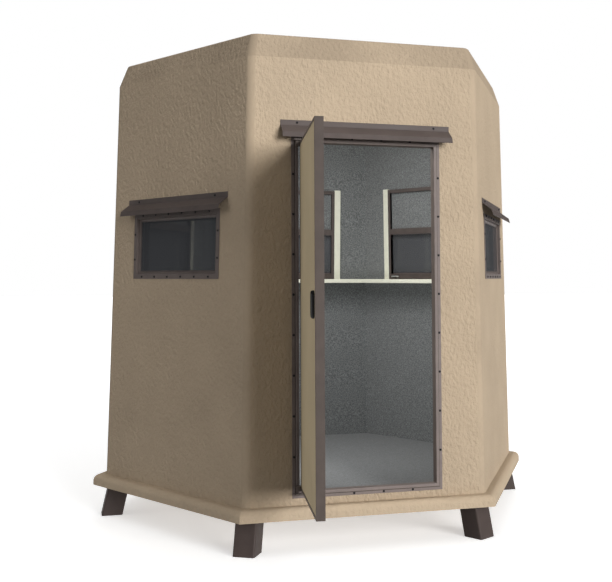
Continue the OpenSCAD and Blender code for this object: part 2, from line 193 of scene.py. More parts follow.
def finish_base(name, colour, rough, metal=0.0):
    """New material with plain values; gives it with its tree, its shader and the object coordinates."""
    mat = bpy.data.materials.new(name)
    mat.use_nodes = True
    tree = mat.node_tree
    shader = tree.nodes["Principled BSDF"]
    shader.inputs["Base Color"].default_value = (*colour, 1)
    shader.inputs["Roughness"].default_value = rough
    shader.inputs["Metallic"].default_value = metal
    place = tree.nodes.new("ShaderNodeTexCoord")
    return mat, tree, shader, place.outputs["Object"]


def noise(tree, place, scale, detail=4.0, rough=0.55, distort=0.0):
    """Noise of this scale over the object."""
    n = tree.nodes.new("ShaderNodeTexNoise")
    n.inputs["Scale"].default_value = scale
    n.inputs["Detail"].default_value = detail
    n.inputs["Roughness"].default_value = rough
    n.inputs["Distortion"].default_value = distort
    tree.links.new(place, n.inputs["Vector"])
    return n.outputs["Fac"]


def stretched(tree, place, scale):
    """Coordinates scaled along each axis."""
    m = tree.nodes.new("ShaderNodeMapping")
    m.inputs["Scale"].default_value = scale
    tree.links.new(place, m.inputs["Vector"])
    return m.outputs["Vector"]


def worked(tree, operation, *terms):
    """Result of a sum on numbers and outputs."""
    m = tree.nodes.new("ShaderNodeMath")
    m.operation = operation
    for socket, term in zip(m.inputs, terms):
        feed(tree, socket, term)
    return m.outputs["Value"]


def added(tree, a, b, share):
    """Value a with a share of b added."""
    return worked(tree, "MULTIPLY_ADD", b, share, a)


def mapped(tree, value, source, target, blend="LINEAR"):
    """Value carried from the source span to the target span."""
    m = tree.nodes.new("ShaderNodeMapRange")
    m.interpolation_type = blend
    for socket, number in zip(("From Min", "From Max", "To Min", "To Max"), (*source, *target)):
        m.inputs[socket].default_value = number
    tree.links.new(value, m.inputs["Value"])
    return m.outputs["Result"]


def vary_rough(tree, shader, value, low, high):
    """Roughness between low and high that follows a noise."""
    tree.links.new(mapped(tree, value, NOISE_SPAN, (low, high)), shader.inputs["Roughness"])


def tone(colour, gain):
    """Lighter or darker version of a colour."""
    return tuple(min(1.0, c * gain) for c in colour)


def vary_colour(tree, shader, value, colour, gains):
    """Base colour that follows value through (place, gain) stops."""
    r = tree.nodes.new("ShaderNodeValToRGB")
    stops = r.color_ramp.elements
    stops[0].position = gains[0][0]
    stops[1].position = gains[-1][0]
    for at, _ in gains[1:-1]:
        stops.new(at)
    for stop, (_, gain) in zip(stops, gains):
        stop.color = (*tone(colour, gain), 1)
    tree.links.new(value, r.inputs["Fac"])
    tree.links.new(r.outputs["Color"], shader.inputs["Base Color"])


def bump(tree, shader, height, strength, distance):
    """Fine relief in the shading."""
    b = tree.nodes.new("ShaderNodeBump")
    b.inputs["Distance"].default_value = distance
    feed(tree, b.inputs["Strength"], strength)
    tree.links.new(height, b.inputs["Height"])
    tree.links.new(b.outputs["Normal"], shader.inputs["Normal"])


# Finishes

def stucco(name, colour, grain=0.7):
    """Moulded gel coat, rolled and pebbly; the roof band above the eave and the rounded corners are
    darkened as painted shade, and the tone darkens towards the foot.
    """
    mat, tree, shader, place = finish_base(name, colour, rough=0.72)
    shader.inputs["Specular IOR Level"].default_value = 0.03
    drawn = stretched(tree, place, (1.1, 1.1, 0.75))
    pebble = noise(tree, drawn, scale=62, detail=2, rough=0.5, distort=0.15)
    fine = noise(tree, place, scale=170, detail=1, rough=0.5)
    broad = noise(tree, place, scale=3.0, detail=3)
    axes = tree.nodes.new("ShaderNodeSeparateXYZ")
    tree.links.new(place, axes.inputs["Vector"])
    # Painted shade: the roof band above the eave is darkened for the weaker light on the roof's slope.
    roof_shade = worked(tree, "GREATER_THAN", axes.outputs["Z"], EAVE_Z)
    # The tone darkens from the middle of the walls down to their foot.
    foot_darkening = mapped(tree, axes.outputs["Z"], (FOOT_DARK_Z0, FOOT_DARK_Z1), (1.0, 0.0))
    # Painted shade: the rounded corners are darkened; the same mark also softens the relief there.
    mark = tree.nodes.new("ShaderNodeAttribute")
    mark.attribute_name = CORNER_MARK
    corner_smooth_shade = mark.outputs["Fac"]
    tone_with_shade = added(tree, broad, pebble, PEBBLE_SHARE)
    for cause, share in ((roof_shade, ROOF_SHADE_SHARE), (foot_darkening, FOOT_DARK_SHARE), (corner_smooth_shade, CORNER_SHADE_SHARE)):
        tone_with_shade = added(tree, tone_with_shade, cause, share)
    vary_colour(tree, shader, tone_with_shade, colour, [(0.05, 0.76), (0.45, 0.94), (0.9, 1.05)])
    vary_rough(tree, shader, pebble, low=0.64, high=0.8)
    eased = mapped(tree, corner_smooth_shade, (0, 1), (grain, grain * CORNER_GRAIN))
    bump(tree, shader, added(tree, pebble, fine, 0.2), strength=eased, distance=0.012)
    return mat


def carpet(name, colour):
    """Short cut pile: speckled tufts with soft broad shading."""
    mat, tree, shader, place = finish_base(name, colour, rough=0.95)
    tuft = noise(tree, place, scale=160, detail=1, rough=0.6)
    broad = noise(tree, place, scale=5, detail=2)
    speckle = added(tree, tuft, broad, 0.05)
    vary_colour(tree, shader, speckle, colour, [(0.34, 0.60), (0.52, 1.0), (0.70, 1.58)])
    shader.inputs["Sheen Weight"].default_value = 0.25
    shader.inputs["Sheen Roughness"].default_value = 0.6
    bump(tree, shader, tuft, strength=0.25, distance=0.003)
    return mat


def powder_coat(name, colour, rough=0.48):
    """Baked brown coating on bent sheet: fine orange peel and faint dust."""
    mat, tree, shader, place = finish_base(name, colour, rough)
    shader.inputs["Specular IOR Level"].default_value = 0.14
    peel = noise(tree, place, scale=420, detail=2)
    dust = noise(tree, place, scale=14, detail=4)
    vary_colour(tree, shader, dust, colour, [(0.35, 0.9), (0.7, 1.12)])
    vary_rough(tree, shader, dust, low=rough - 0.08, high=rough + 0.1)
    bump(tree, shader, peel, strength=0.12, distance=0.001)
    return mat


def paint(name, colour):
    """Brushed paint on board, with faint strokes."""
    mat, tree, shader, place = finish_base(name, colour, rough=0.55)
    stroke = noise(tree, place, scale=40, detail=5, rough=0.6, distort=0.6)
    vary_colour(tree, shader, stroke, colour, [(0.3, 0.94), (0.7, 1.03)])
    bump(tree, shader, stroke, strength=0.15, distance=0.002)
    return mat


def plywood(name, colour):
    """Bare board with grain along x."""
    mat, tree, shader, place = finish_base(name, colour, rough=0.7)
    along = stretched(tree, place, (2.0, 26.0, 26.0))
    grain = noise(tree, along, scale=3.0, detail=6, rough=0.6, distort=1.2)
    vary_colour(tree, shader, grain, colour, [(0.3, 0.72), (0.55, 1.0), (0.8, 1.2)])
    bump(tree, shader, grain, strength=0.2, distance=0.001)
    return mat


def smoke_glass(name, colour):
    """Dark tinted pane that shows the room faintly."""
    mat, tree, shader, place = finish_base(name, colour, rough=0.06)
    shader.inputs["Alpha"].default_value = 0.76
    shader.inputs["Specular IOR Level"].default_value = 0.25
    vary_rough(tree, shader, noise(tree, place, scale=6, detail=3), low=0.04, high=0.09)
    return mat


def moulded(name, colour, rough):
    """Black plastic or coated steel with a fine grain."""
    mat, tree, shader, place = finish_base(name, colour, rough)
    shader.inputs["Specular IOR Level"].default_value = 0.2
    grain = noise(tree, place, scale=700, detail=2)
    vary_rough(tree, shader, grain, low=rough - 0.06, high=rough + 0.08)
    bump(tree, shader, grain, strength=0.15, distance=0.0006)
    return mat


def brushed_metal(name, colour):
    """Bare metal with uneven gloss."""
    mat, tree, shader, place = finish_base(name, colour, rough=0.35, metal=1.0)
    vary_rough(tree, shader, noise(tree, place, scale=300), low=0.28, high=0.45)
    return mat


TAN = (0.430, 0.340, 0.243)
shell_tan = stucco("shell_tan", TAN)
lip_tan = stucco("lip_tan", tone(TAN, 1.06), grain=0.4)
leaf_tan = stucco("leaf_tan", (0.440, 0.360, 0.236), grain=0.08)
frame_brown = powder_coat("frame_brown", (0.171, 0.140, 0.129))
edge_brown = powder_coat("edge_brown", (0.078, 0.0615, 0.0535))
# Painted shade: darker copy of the frame's brown for the door head's bead, standing for the drip cap's
# shadow.
head_shade_brown = powder_coat("head_shade_brown", (0.116, 0.092, 0.083))
track_brown = powder_coat("track_brown", (0.089, 0.073, 0.067))
hood_brown = powder_coat("hood_brown", (0.087, 0.069, 0.063))
sash_brown = powder_coat("sash_brown", (0.126, 0.102, 0.093))
leg_brown = powder_coat("leg_brown", (0.058, 0.0435, 0.039), rough=0.55)
wall_carpet = carpet("wall_carpet", (0.134, 0.1415, 0.1420))
floor_carpet = carpet("floor_carpet", (0.087, 0.0925, 0.0945))
cream_paint = paint("cream_paint", (0.74, 0.74, 0.62))
deck_wood = plywood("deck_wood", (0.46, 0.31, 0.17))
pane_smoke = smoke_glass("pane_smoke", (0.070, 0.073, 0.079))
black_plastic = moulded("black_plastic", (0.005, 0.005, 0.005), rough=0.45)
bolt_black = moulded("bolt_black", (0.010, 0.010, 0.011), rough=0.75)
latch_silver = brushed_metal("latch_silver", (0.62, 0.63, 0.64))


# Making and placing

def finish_piece(name, bm, material, body, replaced=(), sharp=40, weighted=True):
    """Turns a mesh into a piece that rides a body, fills a slot and takes the place of nodes."""
    bmesh.ops.remove_doubles(bm, verts=bm.verts, dist=TOUCH)
    mesh = bpy.data.meshes.new(name)
    bm.to_mesh(mesh)
    bm.free()
    mesh.materials.append(material)
    mesh.shade_smooth()
    mesh.set_sharp_from_angle(angle=math.radians(sharp))
    piece = bpy.data.objects.new(name, mesh)
    SHOWN.link(piece)
    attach(piece, body)
    if replaced:
        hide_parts(*replaced)
    if weighted:
        even = piece.modifiers.new("even_shading", "WEIGHTED_NORMAL")
        even.keep_sharp = True
    return piece


def thicken(piece, name, depth):
    """Grows a sheet inwards, before its shading is evened."""
    thick = piece.modifiers.new(name, "SOLIDIFY")
    thick.thickness = depth
    thick.offset = -1
    thick.use_even_offset = True
    piece.modifiers.move(1, 0)


def moved(bm, place):
    """Moves a whole mesh to a place and gives it back."""
    bmesh.ops.transform(bm, matrix=place, verts=bm.verts)
    return bm


def gather(target, source, place):
    """Adds a copy of source, moved to place, to target."""
    held = moved(source.copy(), place)
    carrier = bpy.data.meshes.new("carrier")
    held.to_mesh(carrier)
    held.free()
    target.from_mesh(carrier)
    bpy.data.meshes.remove(carrier)


def at_windows(source):
    """A mesh with source set on each wall that has a window."""
    made = bmesh.new()
    for k in WINDOW_WALLS:
        gather(made, source, wall_place(k))
    source.free()
    return made


def new_verts(made):
    """The vertices in the result of an operator."""
    return [g for g in made if isinstance(g, bmesh.types.BMVert)]


def from_middle(v):
    """Level distance of a vertex from the hut's middle line."""
    return (v.co.xy - Vector((0, CENTRE_Y))).length


def bearing(v):
    """Direction of a vertex seen from the hut's middle line."""
    return math.atan2(v.co.y - CENTRE_Y, v.co.x)


def largest(faces):
    """The face with the greatest area."""
    return max(faces, key=lambda f: f.calc_area())


def round_off(bm, geom, radius, segments=2, affect="EDGES"):
    """Rounds edges or corners."""
    bmesh.ops.bevel(
        bm, geom=geom, offset=radius, offset_type="OFFSET", segments=segments, profile=0.5,
        affect=affect, material=-1,
    )


def soft_box(bm, low, high, radius, segments=2):
    """Block between two corners with rounded edges."""
    low, high = Vector(low), Vector(high)
    place = Matrix.Translation((low + high) / 2) @ Matrix.Diagonal((*(high - low), 1))
    made = bmesh.ops.create_cube(bm, size=1, matrix=place)["verts"]
    round_off(bm, [e for e in bm.edges if e.verts[0] in made], radius, segments)


def round_ended(wide, deep, high, rim_radius):
    """Block with half-round ends, its rim rounded towards -y."""
    bm = bmesh.new()
    bmesh.ops.create_cube(bm, size=1, matrix=Matrix.Diagonal((wide, deep, high, 1)))
    corners = [e for e in bm.edges if abs(e.verts[0].co.y - e.verts[1].co.y) > NEAR]
    round_off(bm, corners, min(wide, high) / 2 - NEAR / 2, segments=8)
    round_off(bm, [e for e in bm.edges if all(v.co.y < 0 for v in e.verts)], rim_radius, segments=6)
    return bm


def open_loop(bm, face):
    """Takes a face away and gives its edges."""
    loop = list(face.edges)
    bmesh.ops.delete(bm, geom=[face], context="FACES_ONLY")
    return loop


def grow_loop(bm, loop, matrix, space):
    """Extrudes a loop of edges, moves the new loop and gives it back."""
    grown = bmesh.ops.extrude_edge_only(bm, edges=loop)["geom"]
    verts = new_verts(grown)
    bmesh.ops.transform(bm, matrix=matrix, space=space, verts=verts)
    edges = [g for g in grown if isinstance(g, bmesh.types.BMEdge)]
    return [e for e in edges if e.verts[0] in verts and e.verts[1] in verts]


def close_ring(bm, first, last):
    """Joins the last loop of a ring to the first."""
    bmesh.ops.bridge_loops(bm, edges=first + last)
    bmesh.ops.recalc_face_normals(bm, faces=bm.faces)


def frame_ring(low_x, high_x, low_z, high_z, section, radius):
    """Mitred picture frame: section holds (outward step, depth) points round the bar."""
    bm = bmesh.new()
    wide, tall = high_x - low_x, high_z - low_z
    middle = Vector(((low_x + high_x) / 2, 0, (low_z + high_z) / 2))
    step, depth = section[0]
    made = bmesh.ops.create_grid(
        bm, x_segments=1, y_segments=1, size=0.5,
        matrix=Matrix.Translation(middle + Vector((0, depth, 0)))
        @ Matrix.Diagonal((wide + 2 * step, 1, tall + 2 * step, 1))
        @ QUARTER,
    )["verts"]
    first = open_loop(bm, made[0].link_faces[0])
    loop = first
    for next_step, next_depth in section[1:]:
        grow_x = (wide + 2 * next_step) / (wide + 2 * step)
        grow_z = (tall + 2 * next_step) / (tall + 2 * step)
        matrix = Matrix.Translation((0, next_depth - depth, 0)) @ Matrix.Diagonal((grow_x, 1, grow_z, 1))
        loop = grow_loop(bm, loop, matrix, Matrix.Translation(-middle))
        step, depth = next_step, next_depth
    close_ring(bm, first, loop)
    if radius:
        round_off(bm, list(bm.edges), radius)
    return bm


def hex_face(bm, apothem, z, radius):
    """Level six-sided face with rounded corners."""
    made = bmesh.ops.create_circle(
        bm, cap_ends=True, segments=SIDES, radius=apothem / math.cos(HALF),
        matrix=MIDDLE @ Matrix.Translation((0, 0, z)) @ Matrix.Rotation(HALF, 4, "Z"),
    )["verts"]
    if radius:
        round_off(bm, made, radius * math.tan(HALF), segments=8, affect="VERTICES")
    return bm.faces[:][0]


def lift(up, grow):
    """Move up with a scaling about the middle line."""
    return Matrix.Translation((0, 0, up)) @ Matrix.Diagonal((grow, grow, 1, 1))


def raise_face(bm, face, up, grow):
    """Pulls a face up and scales it about the middle line; gives the new face."""
    out = bmesh.ops.extrude_face_region(bm, geom=[face])["geom"]
    bmesh.ops.transform(bm, matrix=lift(up, grow), space=MIDDLE.inverted(), verts=new_verts(out))
    return next(g for g in out if isinstance(g, bmesh.types.BMFace))


def sink_face(bm, face, rim, move):
    """Leaves a rim round a face and pushes the rest of it."""
    bmesh.ops.inset_region(bm, faces=[face], thickness=rim, depth=0)
    out = bmesh.ops.extrude_face_region(bm, geom=[face])["geom"]
    bmesh.ops.translate(bm, vec=move, verts=new_verts(out))


def cut_opening(bm, k, low_x, high_x, low_z, high_z):
    """Cuts a rectangular hole in the flat of wall k."""
    place = wall_place(k)
    turn = place.to_3x3()
    out = turn @ Vector((0, -1, 0))

    def flat():
        """Faces that look straight out of this wall."""
        return [f for f in bm.faces if f.normal.dot(out) > FLAT_MATCH]

    cuts = [((x, 0, 0), (1, 0, 0)) for x in (low_x, high_x)]
    cuts += [((0, 0, z), (0, 0, 1)) for z in (low_z, high_z)]
    for at, way in cuts:
        geom = flat()
        faces = set(geom)
        geom += [e for e in bm.edges if faces.intersection(e.link_faces)]
        geom += [v for v in bm.verts if faces.intersection(v.link_faces)]
        bmesh.ops.bisect_plane(
            bm, geom=geom, dist=TOUCH, plane_co=place @ Vector(at), plane_no=turn @ Vector(way)
        )
    back = place.inverted()
    inside = []
    for f in flat():
        c = back @ f.calc_center_median()
        if low_x < c.x < high_x and low_z < c.z < high_z:
            inside.append(f)
    bmesh.ops.delete(bm, geom=inside, context="FACES")


def cut_all_openings(bm):
    """Cuts the doorway and the window holes."""
    bm.normal_update()
    cut_opening(bm, 0, -DOOR_X - SHEET, DOOR_X + SHEET, DOOR_Z0 - SHEET, DOOR_Z1 + SHEET)
    half = INNER_X + SHEET
    for k in WINDOW_WALLS:
        cut_opening(bm, k, -half, half, INNER_Z0 - SHEET, INNER_Z1 + SHEET)


# Shell and base

def mark_corners(bm):
    """Marks the vertices of the rounded corners, where the stucco is smoother and is darkened as painted
    shade.
    """
    mark = bm.verts.layers.float.new(CORNER_MARK)
    for v in bm.verts:
        in_corner = abs((bearing(v) + HALF) % TURN - HALF) < CORNER_TURN
        v[mark] = float(in_corner and v.co.z < TOP_Z - NEAR / 2)


def build_shell():
    """Walls and roof, moulded in one piece."""
    bm = bmesh.new()
    foot_z, foot = LEG_H + DECK_T, wall_apothem(DECK_T)
    face = hex_face(bm, foot, foot_z, CORNER_R)
    face = raise_face(bm, face, WALL_H - DECK_T, EAVE_AP / foot)
    raise_face(bm, face, ROOF_H, TOP_AP / EAVE_AP)
    bottom = [f for f in bm.faces if f.calc_center_median().z < foot_z + NEAR]
    bmesh.ops.delete(bm, geom=bottom, context="FACES_ONLY")
    bmesh.ops.recalc_face_normals(bm, faces=bm.faces)
    for level, radius in ((EAVE_Z, EAVE_ROUND), (TOP_Z, TOP_ROUND)):
        rim = [e for e in bm.edges if all(abs(v.co.z - level) < NEAR / 10 for v in e.verts)]
        round_off(bm, rim, radius, segments=3)
    cut_all_openings(bm)
    mark_corners(bm)
    replaced = (
        "front_wall_left", "front_wall_right", "front_wall_head", "front_wall_base", "front_right_wall",
        "back_right_wall", "back_wall", "back_left_wall", "front_left_wall", "roof_cap",
    )
    thicken(finish_piece("hut_shell", bm, shell_tan, "hut", replaced), "wall_thickness", WALL_T)


def build_base_lip():
    """Rounded nose round the foot of the walls, mitred at the corners."""
    bm = bmesh.new()
    back, top = FOOT_AP - LIP_BITE, LEG_H + LIP_H
    section = [(LIP_AP, LEG_H), (LIP_AP, top - LIP_R)]
    for degrees in range(15, 91, 15):
        a = math.radians(degrees)
        section.append((LIP_AP - LIP_R * (1 - math.cos(a)), top - LIP_R * (1 - math.sin(a))))
    section.append((back, top))
    first = open_loop(bm, hex_face(bm, back, LEG_H, 0))
    loop, apothem, z = first, back, LEG_H
    for next_apothem, next_z in section:
        loop = grow_loop(bm, loop, lift(next_z - z, next_apothem / apothem), MIDDLE.inverted())
        apothem, z = next_apothem, next_z
    close_ring(bm, first, loop)
    clear = FOOT_AP / math.cos(HALF) + LIP_BITE
    mitres = []
    for e in bm.edges:
        outward = len({round(bearing(v), 4) for v in e.verts}) == 1
        if outward and min(from_middle(v) for v in e.verts) > clear:
            mitres.append(e)
    round_off(bm, mitres, LIP_ARRIS)
    finish_piece("base_lip", bm, lip_tan, "hut", ("base_lip",))


def build_wall_lining():
    """Carpet on the inside of the walls."""
    bm = bmesh.new()
    foot_z = DECK_T + CARPET_T
    foot = wall_apothem(foot_z) - WALL_T
    face = hex_face(bm, foot, LEG_H + foot_z, LINING_R)
    raise_face(bm, face, WALL_H - foot_z, (EAVE_AP - WALL_T) / foot)
    bmesh.ops.delete(bm, geom=[f for f in bm.faces if abs(f.normal.z) > FACING], context="FACES_ONLY")
    bmesh.ops.recalc_face_normals(bm, faces=bm.faces)
    inside = Vector((0, CENTRE_Y, 1))
    if sum(f.normal.dot(f.calc_center_median() - inside) for f in bm.faces) < 0:
        bmesh.ops.reverse_faces(bm, faces=bm.faces)
    cut_all_openings(bm)
    lining = finish_piece("wall_lining", bm, wall_carpet, "hut", ("wall_lining",))
    thicken(lining, "pile_thickness", LINING_T)


def build_leg(name, k):
    """Square tube with rounded arrises and an open foot, cut level at both ends."""
    bm = bmesh.new()
    place = (
        MIDDLE
        @ Matrix.Rotation(k * TURN, 4, "Z")
        @ Matrix.Translation((LEG_REACH, 0, LEG_H))
        @ Matrix.Rotation(-LEG_SPLAY, 4, "Y")
    )
    bmesh.ops.create_cube(bm, size=1, matrix=Matrix.Diagonal((LEG_W, LEG_W, 4 * LEG_H, 1)))
    upright = [e for e in bm.edges if abs(e.verts[0].co.z - e.verts[1].co.z) > LEG_H]
    round_off(bm, upright, LEG_ARRIS, segments=4)
    moved(bm, place)
    for at, way in ((0, -1), (LEG_H, 1)):
        bmesh.ops.bisect_plane(
            bm, geom=bm.verts[:] + bm.edges[:] + bm.faces[:], plane_co=(0, 0, at), plane_no=(0, 0, way),
            clear_outer=True,
        )
    bmesh.ops.holes_fill(bm, edges=bm.edges[:], sides=0)
    bmesh.ops.recalc_face_normals(bm, faces=bm.faces)
    foot = largest(f for f in bm.faces if f.normal.z < -FACING)
    sink_face(bm, foot, LEG_TUBE_T, place.to_3x3() @ Vector((0, 0, LEG_HOLLOW)))
    finish_piece(name, bm, leg_brown, "hut", (name,), sharp=35)


# Doorway

def door_ring(section, radius):
    """Ring round the doorway, before it is set on the wall."""
    return frame_ring(-DOOR_X, DOOR_X, DOOR_Z0, DOOR_Z1, section, radius)


def build_door_frame():
    """Flanged frame with a raised bead; along the head the bead takes a darker brown as painted shade under
    the drip cap.
    """
    section = [
        (0, -BEAD_OUT), (BEAD_W, -BEAD_OUT), (BEAD_W, -SHEET), (FRAME_W, -SHEET),
        (FRAME_W, 0), (SHEET, 0), (SHEET, WEB_D), (0, WEB_D),
    ]
    bm = door_ring(section, BEAD_ROUND)
    # Painted shade: faces of the head's bead take the darker second material.
    for f in bm.faces:
        f.material_index = int(-HEAD_UNDER < f.calc_center_median().z - DOOR_Z1 < BEAD_W + HEAD_OVER)
    door_frame = finish_piece(
        "door_frame", moved(bm, FRONT), frame_brown, "hut",
        ("door_jamb_left", "door_jamb_right", "door_head", "door_sill"),
    )
    door_frame.data.materials.append(head_shade_brown)


def build_door_seal_shadow_line():
    """Thin dark strip beside the bead: a sealant joint whose dark brown is also a painted shadow of the
    groove by the bead; in the frame's own brown along the head.
    """
    inner, outer = BEAD_W - SEAL_BITE, BEAD_W + SEAL_W
    section = [
        (inner, -SHEET), (outer, -SHEET + SEAL_SINK),
        (outer, -SHEET - SEAL_THIN), (inner, -SHEET - SEAL_THICK),
    ]
    bm = door_ring(section, 0)
    for f in bm.faces:
        f.material_index = int(f.calc_center_median().z > DOOR_Z1)
    # Painted shadow: the strip's dark brown stands for the shadow in the groove beside the bead.
    seal_shadow_line = finish_piece("door_frame_seal_shadow_line", moved(bm, FRONT), edge_brown, "hut")
    seal_shadow_line.data.materials.append(frame_brown)


# Awnings, drip cap and bolts

def hood(z):
    """Bent sheet: wall flange, slope and front lip."""
    bm = bmesh.new()
    ends = [bm.verts.new((x, 0, z + HOOD_FLANGE)) for x in (-HOOD_W / 2, HOOD_W / 2)]
    edge = [bm.edges.new(ends)]
    for way in ((0, 0, -HOOD_FLANGE), (0, -HOOD_OUT, -HOOD_DROP), (0, -HOOD_KICK, -HOOD_LIP)):
        edge = grow_loop(bm, edge, Matrix.Translation(way), Matrix())
    bmesh.ops.recalc_face_normals(bm, faces=bm.faces)
    if sum(f.normal.y for f in bm.faces) > 0:
        bmesh.ops.reverse_faces(bm, faces=bm.faces)
    return bm


def sheet_piece(name, bm):
    """Thin bent sheet with soft folds."""
    piece = finish_piece(
        name, bm, hood_brown, "hut", (name,), sharp=FOLD_DEGREES, weighted=False
    )
    skin = piece.modifiers.new("sheet_thickness", "SOLIDIFY")
    skin.thickness = HOOD_T
    skin.offset = 1
    skin.use_even_offset = True
    soft = piece.modifiers.new("fold_radius", "BEVEL")
    soft.width = HOOD_FOLD_R
    soft.segments = 2
    soft.limit_method = "ANGLE"
    soft.angle_limit = math.radians(FOLD_DEGREES)
    soft.harden_normals = True


def bolt_head():
    """Low screw head on a washer, standing out along -y."""
    bm = bmesh.new()
    for sides, radius, top_radius, high, foot in (
        (14, WASHER_R, WASHER_TOP_R, WASHER_T, 0),
        (6, NUT_R, NUT_TOP_R, NUT_T, WASHER_T),
    ):
        bmesh.ops.create_cone(
            bm, cap_ends=True, segments=sides, radius1=radius, radius2=top_radius, depth=high,
            matrix=Matrix.Translation((0, -foot - high / 2, 0)) @ QUARTER,
        )
    return bm


def in_row(count, pitch):
    """Places of a row with this pitch, the same to both sides of zero."""
    return [(i - (count - 1) / 2) * pitch for i in range(count)]


def door_bolt_places():
    """Bolts of the door frame and drip cap, on the front wall."""
    for i in range(JAMB_BOLTS):
        for side in (-1, 1):
            yield side * (DOOR_X + DOOR_BOLT_OUT), BOLT_SEAT_Y, JAMB_BOLT_Z + i * JAMB_BOLT_PITCH
    for x in in_row(HEAD_BOLTS, HEAD_BOLT_PITCH):
        yield x, BOLT_SEAT_Y, DOOR_Z0 - DOOR_BOLT_OUT
        yield x, BOLT_SEAT_Y, DOOR_Z1 + DOOR_BOLT_OUT
    for side in (-1, 1):
        yield side * CAP_BOLT_X, HOOD_SEAT_Y, HOOD_DOOR_Z + CAP_BOLT_UP


def window_bolt_places():
    """Bolts of one window frame and its awning."""
    for x in in_row(WIN_BOLTS, WIN_BOLT_PITCH):
        for z in (WIN_Z + WIN_BOLT_IN, WIN_Z + WIN_H - WIN_BOLT_IN):
            yield x, BOLT_SEAT_Y, z
    for side in (-1, 1):
        for z in WIN_SIDE_BOLT_Z:
            yield side * (WIN_W / 2 - WIN_BOLT_IN), BOLT_SEAT_Y, z
        yield side * AWNING_BOLT_X, HOOD_SEAT_Y, HOOD_WIN_Z + AWNING_BOLT_UP


def build_bolts():
    """All bolt heads on the outside, in one piece."""
    bm = bmesh.new()
    head = bolt_head()
    for at in door_bolt_places():
        gather(bm, head, FRONT @ Matrix.Translation(at))
    for k in WINDOW_WALLS:
        for at in window_bolt_places():
            gather(bm, head, wall_place(k) @ Matrix.Translation(at))
    head.free()
    finish_piece("frame_bolts", bm, bolt_black, "hut", (), sharp=30, weighted=False)


# Windows

def window_ring(section, radius):
    """Ring round the opening of every window."""
    return at_windows(frame_ring(-INNER_X, INNER_X, INNER_Z0, INNER_Z1, section, radius))


def build_window_frames():
    """Bolted outer frames, with a web through the wall."""
    section = [
        (0, -SHEET), (WIN_FLANGE, -SHEET), (WIN_FLANGE, 0), (SHEET, 0), (SHEET, WEB_D), (0, WEB_D),
    ]
    bm = window_ring(section, WIN_ROUND)
    finish_piece("window_frames", bm, sash_brown, "hut", ("window_frames",))


def build_window_sashes():
    """Sash bars with a sloped inner edge."""
    section = [
        (-SASH_W, SASH_Y + SASH_SLOPE_D), (-SASH_W + SASH_SLOPE_W, SASH_Y), (0, SASH_Y),
        (0, SASH_Y + SASH_D), (-SASH_W, SASH_Y + SASH_D),
    ]
    bm = window_ring(section, WIN_ROUND)
    finish_piece("window_sashes", bm, sash_brown, "hut", ("window_sashes",))


def build_glass_gaskets():
    """Narrow strips between sash and pane."""
    inner, outer = -SASH_W - GASKET_W, -SASH_W
    section = [
        (inner, GLASS_Y - GASKET_THIN), (outer, GLASS_Y - GASKET_THICK), (outer, GLASS_Y), (inner, GLASS_Y),
    ]
    finish_piece("glass_gaskets", window_ring(section, 0), track_brown, "hut")


def build_window_glass():
    """Panes held by the sashes."""
    bm = bmesh.new()
    low = (-INNER_X + SASH_W, GLASS_Y, INNER_Z0 + SASH_W)
    high = (INNER_X - SASH_W, GLASS_Y + GLASS_T, INNER_Z1 - SASH_W)
    soft_box(bm, low, high, GLASS_ROUND)
    finish_piece("window_glass", at_windows(bm), pane_smoke, "hut", ("window_glass",))


def build_window_tracks():
    """Inner track frames: two stiles, two rails and a middle bar."""
    bm = bmesh.new()
    out, inner = TRACK_W / 2, TRACK_W / 2 - STILE_W
    for low_x, low_z, high_x, high_z in (
        (-out, 0, -inner, TRACK_H),
        (inner, 0, out, TRACK_H),
        (-inner, 0, inner, FOOT_RAIL),
        (-inner, BAR_Z0, inner, BAR_Z1),
        (-inner, TRACK_H - TOP_RAIL, inner, TRACK_H),
    ):
        low, high = (low_x, WEB_D, TRACK_Z + low_z), (high_x, WEB_D + TRACK_D, TRACK_Z + high_z)
        soft_box(bm, low, high, TRACK_ROUND)
    finish_piece("window_tracks", at_windows(bm), track_brown, "hut", ("window_tracks",))


def build_sash_latches():
    """Small metal latch on each lower rail, with a thumb piece."""
    bm = round_ended(LATCH_L, LATCH_T, LATCH_H, LATCH_ROUND)
    soft_box(bm, (-THUMB_X, THUMB_Y0, -THUMB_Z), (THUMB_X, THUMB_Y1, THUMB_Z), THUMB_ROUND, segments=3)
    at = (
        TRACK_W / 2 - STILE_W - LATCH_GAP - LATCH_L / 2,
        WEB_D + TRACK_D + LATCH_T / 2,
        TRACK_Z + FOOT_RAIL / 2,
    )
    moved(bm, Matrix.Translation(at) @ Matrix.Rotation(math.pi, 4, "Z"))
    finish_piece("sash_latches", at_windows(bm), latch_silver, "hut", ("sash_latches",))


# Posts and shelf

def build_window_posts():
    """Painted posts on both sides of every window."""
    bm = bmesh.new()
    low_z, high_z = SHELF_Z + POST_FOOT, TRACK_Z + TRACK_H + POST_OVER
    for side in (-1, 1):
        low_x, high_x = sorted((side * TRACK_W / 2, side * (TRACK_W / 2 + POST_W)))
        soft_box(bm, (low_x, WEB_D, low_z), (high_x, WEB_D + POST_D, high_z), POST_ROUND)
    finish_piece("window_posts", at_windows(bm), cream_paint, "hut", ("window_posts",))


